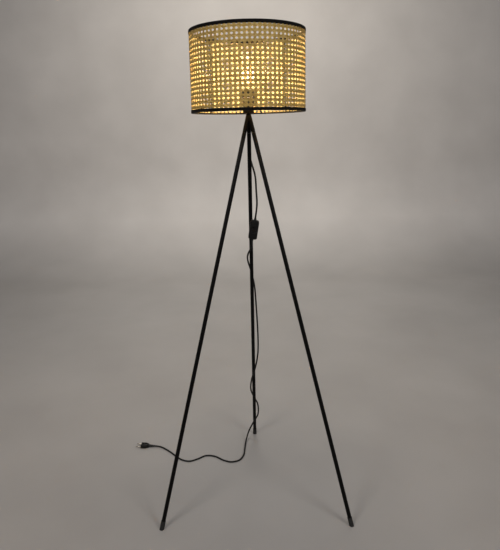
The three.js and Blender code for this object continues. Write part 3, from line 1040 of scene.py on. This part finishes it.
def makeBulb():
    s = bulbSet
    place = onAxis @ Matrix.Translation((0, 0, s["bottom"] * mm))
    glass = makeGlass("blown_etched_glass", s["etch"])
    stemGlass = makeGlass("drawn_clear_glass", 0.02)
    phosphor = makeFilament()
    outside = [(max(p.x, 0), p.y) for p in smoothRoute([(r, z, 0) for r, z in s["outline"]], 7)]
    outside[-1] = (0, outside[-1][1])
    crown = outside[-1][1] - s["wall"]
    inside = [(r - s["wall"], min(z, crown)) for r, z in outside if r > s["wall"]] + [(0, crown)]
    bm = bmesh.new()
    turn(bm, inside[::-1] + outside, 64)
    piece = addPiece("bulb_envelope", bm, glass, "bulb", ["bulb_glass"], place)
    piece.visible_shadow = False  # lets the lamp's own light out, as thin glass does
    bm = bmesh.new()
    turn(bm, s["cap"], 64, closed=True)
    thread(bm, **s["thread"], steps=36)
    addPiece("bulb_cap_thread", bm, nickelPlate, "bulb", ["bulb_screw_cap"], place)
    bm = bmesh.new()
    turn(bm, s["insulator"], 48)
    addPiece("bulb_cap_glass", bm, phenolic, "bulb", ["bulb_cap_insulator"], place)
    bm = bmesh.new()
    turn(bm, s["contact"], 40)
    addPiece(
        "bulb_centre_contact", bm, nickelPlate, "bulb", ["bulb_contact"], place
    )
    bm = bmesh.new()
    turn(bm, s["stem"], 40)
    piece = addPiece("bulb_glass_stem", bm, stemGlass, "bulb", ["bulb_stem"], place)
    piece.visible_shadow = False
    wires = bmesh.new()
    peak = Vector((0, 0, s["wirePeak"]))
    footRadius, footHeight = s["wireFoot"]
    feed, joiner = s["wireRadii"]
    for i, degrees in enumerate(s["stickAngles"]):
        low, high = (around(radius, degrees, z) for radius, z in (s["stickLow"], s["stickHigh"]))
        bm = bmesh.new()
        rod(bm, low, high, s["stickRadius"], 16, bevel=0.5)
        name = f"filament_{i + 1}"
        addPiece(name + "_stick", bm, phosphor, "bulb", [name], place)
        rod(wires, around(footRadius, degrees, footHeight), low, feed, 8)
        rod(wires, high, peak, joiner, 8)
    piece = addPiece("filament_wires", wires, nickelPlate, "bulb", (), place)
    piece.visible_shadow = False


makeBulb()
print("bulb blown")

# in-line switch, bushing and plug on the lead

switchSet = {
    "place": (9.5, 77.5, 909.5),
    "leanX": 6,
    "leanY": 9,
    "pivot": -6,
    "tilt": 7,
    "halfWidth": 5.6,
    "halfLength": 9.5,
    "back": 2,
    "dish": [-7, -5.5, -4, -2, 0, 2, 4, 5.5, 7],  # where the hollow across the rocker is measured
    "dishFloor": -5.4,
    "dishDepth": 1.45,
    "grommetStart": {"radius": 4.8, "at": 32.3, "inset": 4},
    "grommetTip": {"radius": 3.6, "at": 41},
}
switchPlace = (
    Matrix.Translation(atLamp(*switchSet["place"]))
    @ Matrix.Rotation(math.radians(switchSet["leanX"]), 4, "X")
    @ Matrix.Rotation(math.radians(switchSet["leanY"]), 4, "Y")
)


def smoothCopy(name, node, look, body, angle=35):
    # the node's own shape with its doubles merged and its round faces shaded smooth
    bm = bmesh.new()
    bm.from_mesh(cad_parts[node].data)
    return addPiece(name, bm, look, body, [node], None, angle)


def addGrommet(name, node, start, end, place, ribs):
    # a tapered sleeve with grooves cut round it so that it bends
    bm = bmesh.new()
    root, tip = start["radius"], end["radius"]
    mouth, run = start["at"], end["at"] - start["at"]
    corners = [(0, mouth - start["inset"]), (3.8, mouth - start["inset"]), (3.8, mouth)]
    corners += [(root, mouth, 0.3)]
    for i in range(ribs):
        share = (i + 0.7) / (ribs + 0.3)
        radius = root + (tip - root) * share
        at = mouth + run * share
        groove = run / ribs * 0.16
        corners += [(radius, at - groove, 0.1), (radius - 0.55, at - groove * 0.5, 0.1)]
        corners += [(radius - 0.55, at + groove * 0.5, 0.1), (radius - 0.05, at + groove, 0.1)]
    corners += [(tip, end["at"], 0.3), (0, end["at"])]
    turn(bm, corners, 40)
    return addPiece(name, bm, softPvc, "stand", [node], place)


def makeSwitch():
    s = switchSet
    made = [
        smoothCopy("switch_case_front", "switch_cover_front", satinAbs, "stand"),
        smoothCopy("switch_case_back", "switch_cover_back", satinAbs, "stand"),
    ]
    bm = bmesh.new()
    half, reach = s["halfWidth"] * mm, s["halfLength"]
    outline = [(-reach, s["back"]), (-reach, -6.8), (-reach + 1.2, -7)]
    outline += [(x, s["dishFloor"] - s["dishDepth"] * (x / reach) ** 2) for x in s["dish"]]
    outline += [(reach - 1.2, -7), (reach, -6.8), (reach, s["back"])]
    side = bm.faces.new([bm.verts.new((-half, y * mm, z * mm)) for z, y in outline])
    grown = bmesh.ops.extrude_face_region(bm, geom=[side])["geom"]
    far = [item for item in grown if isinstance(item, bmesh.types.BMVert)]
    bmesh.ops.translate(bm, vec=(2 * half, 0, 0), verts=far)
    bmesh.ops.recalc_face_normals(bm, faces=bm.faces)
    ease(bm, [edge for edge in bm.edges if edge.calc_face_angle(0) > 0.6], 0.5)
    tipped = Matrix.Rotation(math.radians(s["tilt"]), 4, "X")
    pivot = Matrix.Translation((0, s["pivot"] * mm, 0)) @ tipped
    key = addPiece(
        "switch_key", bm, satinAbs, "rocker", ["switch_rocker"], switchPlace @ pivot
    )
    for end, name in ((1, "switch_grommet_top"), (-1, "switch_grommet_bottom")):
        turned = switchPlace @ Matrix.Rotation(0 if end > 0 else math.pi, 4, "X")
        ends = s["grommetStart"], s["grommetTip"]
        made.append(addGrommet(name + "_sleeve", name, *ends, turned, ribs=3))
    return made, key


bushingSet = {
    "start": {"radius": 5.3, "at": 16.6, "inset": 4},
    "tip": {"radius": 3.7, "at": 40.5},
    "ribs": 6,
}


def makeBushing():
    s = bushingSet
    place = (
        onAxis
        @ Matrix.Translation((0, 0, leadSet["exit"][2] * mm))
        @ Matrix.Rotation(-math.pi / 2, 4, "X")
    )
    return addGrommet("head_bushing", "cord_bushing", s["start"], s["tip"], place, s["ribs"])


plugSet = {
    "place": (-400, 260, 7.05),
    "heading": 174,
    "relief": 22,
    "reliefRadii": (3.6, 5.2),
    "ribs": 6,
    "ribPitch": 3.1,
    "gap": 0.3,
    "body": 32,
    "halfHeight": 6.7,
    "rimRound": 2.4,
    "pinOffset": 9.3,
    "pinRadius": 2,
    "pinLength": 19,
}
plugPlace = Matrix.Translation(atLamp(*plugSet["place"])) @ Matrix.Rotation(
    math.radians(plugSet["heading"]), 4, "Z"
)


def makePlug():
    s = plugSet
    endwise = plugPlace @ Matrix.Rotation(math.pi / 2, 4, "Y")
    bm = bmesh.new()
    thin, thick = s["reliefRadii"]
    corners = [(0, 0), (thin, 0, 0.4)]
    for i in range(s["ribs"]):
        at = 2.8 + i * s["ribPitch"]
        radius = thin + (thick - thin) * at / s["relief"]
        corners += [(radius, at, 0.15), (radius - 0.6, at + 0.3, 0.1), (radius - 0.6, at + 1, 0.1)]
        corners += [(radius + 0.1, at + 1.3, 0.15)]
    back = s["relief"] + s["gap"]
    corners += [(thick, back), (0, back)]
    turn(bm, corners, 40)
    relief = addPiece(
        "plug_relief_sleeve", bm, softPvc, "stand", ["plug_relief"], endwise
    )
    made = [relief, makePlugBody()]
    face, radius = back + s["body"], s["pinRadius"]
    tip = face + s["pinLength"]
    for name, side in (("left", 1), ("right", -1)):
        place = plugPlace @ Matrix.Translation((0, side * s["pinOffset"] * mm, 0))
        place = place @ Matrix.Rotation(math.pi / 2, 4, "Y")
        bm = bmesh.new()
        turn(bm, [(0, face - 1), (radius, face - 1), (radius, tip, 0.8), (0, tip)], 32)
        node = "plug_pin_" + name
        made.append(
            addPiece(node + "_turned", bm, nickelPlate, "stand", [node], place)
        )
    return made


def makePlugBody():
    # a moulded two-pin body: narrow at the lead, full at the pins, with a finger dip on top
    s = plugSet
    back, half = s["relief"] + s["gap"], s["halfHeight"]
    face = back + s["body"]
    bm = bmesh.new()
    outline = [(back, 5.2), (back + 5, 7.6), (back + 11, 11.4), (back + 16, 12), (face - 8, 12)]
    outline += [(face - 3, 11.9), (face, 11.2)]
    corners = outline + [(x, -y) for x, y in reversed(outline)]
    low = bm.faces.new([bm.verts.new((x * mm, y * mm, -half * mm)) for x, y in corners])
    grown = bmesh.ops.extrude_face_region(bm, geom=[low])["geom"]
    top = [item for item in grown if isinstance(item, bmesh.types.BMVert)]
    bmesh.ops.translate(bm, vec=(0, 0, 2 * half * mm), verts=top)
    bmesh.ops.recalc_face_normals(bm, faces=bm.faces)
    rims = [edge for edge in bm.edges if abs(edge.calc_face_angle(0) - math.pi / 2) < 0.2]
    ease(bm, rims, s["rimRound"], 4)
    for sign in (1, -1):
        flat = [f for f in bm.faces if f.normal.z * sign > 0.99 and f.calc_area() > 150 * mm * mm]
        bmesh.ops.inset_region(bm, faces=flat, thickness=2.2 * mm, depth=0)
        bmesh.ops.inset_region(bm, faces=flat, thickness=0.8 * mm, depth=-0.6 * mm)
    return addPiece("plug_shell", bm, satinAbs, "stand", ["plug_body"], plugPlace)


switchPieces, switchKey = makeSwitch()
bushing = makeBushing()
plugPieces = makePlug()
insideSwitch = ["switch_pivot_pin", "switch_terminal_top", "switch_terminal_bottom"]
insideSwitch += ["switch_screw_top", "switch_screw_bottom"]
print("switch, bushing and plug made")

# the small nodes that keep their own shape get their finish here

keptFinishes = [
    (steatite, ["holder_insert"]),
    (zincPlate, ["nipple_tube", "leg_stud_back", "leg_stud_left", "leg_stud_right"]),
    (zincPlate, ["switch_pivot_pin", "switch_screw_top", "switch_screw_bottom"]),
    (turnedBrass, ["holder_screw_shell", "holder_contact"]),
    (turnedBrass, ["terminal_screw_live", "terminal_screw_neutral"]),
    (turnedBrass, ["switch_terminal_top", "switch_terminal_bottom"]),
]
for look, names in keptFinishes:
    for name in names:
        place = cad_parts[name].material_slots[0]
        place.link = "OBJECT"
        place.material = look
print("small parts finished")

# room, in metres: a pale floor and wall, soft studio light and the bulb's own light

roomSet = {
    "floorHalf": 16.0,
    "wallAt": 3.4,
    "wallHeight": 5.5,
    "cornerRound": 0.9,
    "world": ("#DDDDDF", 0.34),
    "areas": {
        "key": ((-1.7, -2.4, 2.7), (0, 0, 0.7), 1.1, 34, "#FFF8F0"),
        "fill": ((1.9, -2.3, 2.5), (0, 0, 0.7), 1.1, 30, "#FFFAF4"),
    },
    "glows": {
        "wallGlow": ((0, 1.3, 2.9), (0, 3.4, 1.75), 2.4, 125, "#FFF8EC"),
        "floorGlow": ((0, 0.8, 3.2), (0, 1.8, 0), 1.45, 120, "#FFFBF2"),
    },
    "bulb": (1401, 20, 6.0, "#FFEAC4"),  # its height and radius are in millimetres
    "floorPaintedShade": (0.4, 0.66),  # painted shade: height up to which the paint is darkened, and the share of its colour left at the floor
}


def makeRoom():
    s = roomSet
    bm = bmesh.new()
    half, wall = s["floorHalf"], s["wallAt"]
    verts = [bm.verts.new((-half, y, z)) for y, z in ((-half, 0), (wall, 0), (wall, s["wallHeight"]))]
    for pair in zip(verts, verts[1:]):
        bm.edges.new(pair)
    ease(bm, [verts[1]], s["cornerRound"] / mm, 16, "VERTICES")
    grown = bmesh.ops.extrude_edge_only(bm, edges=bm.edges[:])["geom"]
    far = [item for item in grown if isinstance(item, bmesh.types.BMVert)]
    bmesh.ops.translate(bm, vec=(2 * half, 0, 0), verts=far)
    bmesh.ops.recalc_face_normals(bm, faces=bm.faces)
    if sum(face.normal.z for face in bm.faces) < 0:
        bmesh.ops.reverse_faces(bm, faces=bm.faces)
    for face in bm.faces:
        face.smooth = True
    mesh = bpy.data.meshes.new("studio_sweep")
    bm.to_mesh(mesh)
    bm.free()
    # painted board, matt, with faint brush clouds a hand or two across
    paint = mottled("matt_pale_paint", "#C3BFBC", "#CECAC7", 3.0, (0.75, 0.9), bump=0.05, patch=420)
    mesh.materials.append(paint)
    # painted shade: the paint is darker over the floor and fades out up the sweep, so the floor reads
    # less lit than the wall
    tree = paint.node_tree
    shader = tree.nodes["Principled BSDF"]
    height = addNode(
        tree, "SeparateXYZ", inputs={0: addNode(tree, "TexCoord").outputs["Object"]}
    ).outputs["Z"]
    top, floorShade = s["floorPaintedShade"]
    rise = addNode(
        tree, "MapRange", inputs={"Value": height, "From Max": top, "To Min": floorShade}
    ).outputs[0]
    pale = shader.inputs["Base Color"].links[0].from_socket
    shadedPaint = addNode(tree, "VectorMath", {"operation": "SCALE"}, {0: pale, "Scale": rise})
    feed(tree, shader, Base_Color=shadedPaint.outputs[0])
    sweep = bpy.data.objects.new("studio_sweep", mesh)
    bpy.context.scene.collection.objects.link(sweep)
    world = bpy.data.worlds.new("studio")
    world.use_nodes = True
    sky = world.node_tree.nodes["Background"]
    sky.inputs["Color"].default_value = hexColour(s["world"][0])
    sky.inputs["Strength"].default_value = s["world"][1]
    bpy.context.scene.world = world
    bpy.context.scene.view_settings.view_transform = "Standard"


def addLight(name, kind, place, aim, watts, colour, **settings):
    # a light at a place, turned to shine at another
    light = bpy.data.lights.new(name, kind)
    light.energy = watts
    light.color = hexColour(colour)[:3]
    for key, value in settings.items():
        setattr(light, key, value)
    lamp = bpy.data.objects.new(name, light)
    facing = (Vector(aim) - Vector(place)).to_track_quat("-Z", "Y")
    lamp.matrix_world = Matrix.Translation(place) @ facing.to_matrix().to_4x4()
    bpy.context.scene.collection.objects.link(lamp)
    return lamp


def lightRoom():
    s = roomSet
    for name, (place, aim, size, watts, colour) in s["areas"].items():
        addLight(name, "AREA", place, aim, watts, colour, shape="DISK", size=size)
    for name, (place, aim, spread, watts, colour) in s["glows"].items():
        cone = {"spot_size": spread, "spot_blend": 1.0, "shadow_soft_size": 0.3}
        addLight(name, "SPOT", place, aim, watts, colour, **cone)
    height, radius, watts, colour = s["bulb"]
    place = atLamp(0, 0, height)
    straightDown = place - Vector((0, 0, 1))
    soft = {"shadow_soft_size": radius * mm}
    lamp = addLight("bulb_light", "POINT", place, straightDown, watts, colour, **soft)
    # its ball isn't seen, in the open or through the glass: the glowing sticks are
    lamp.visible_camera = False
    lamp.visible_transmission = False


makeRoom()
lightRoom()
print("room lit")
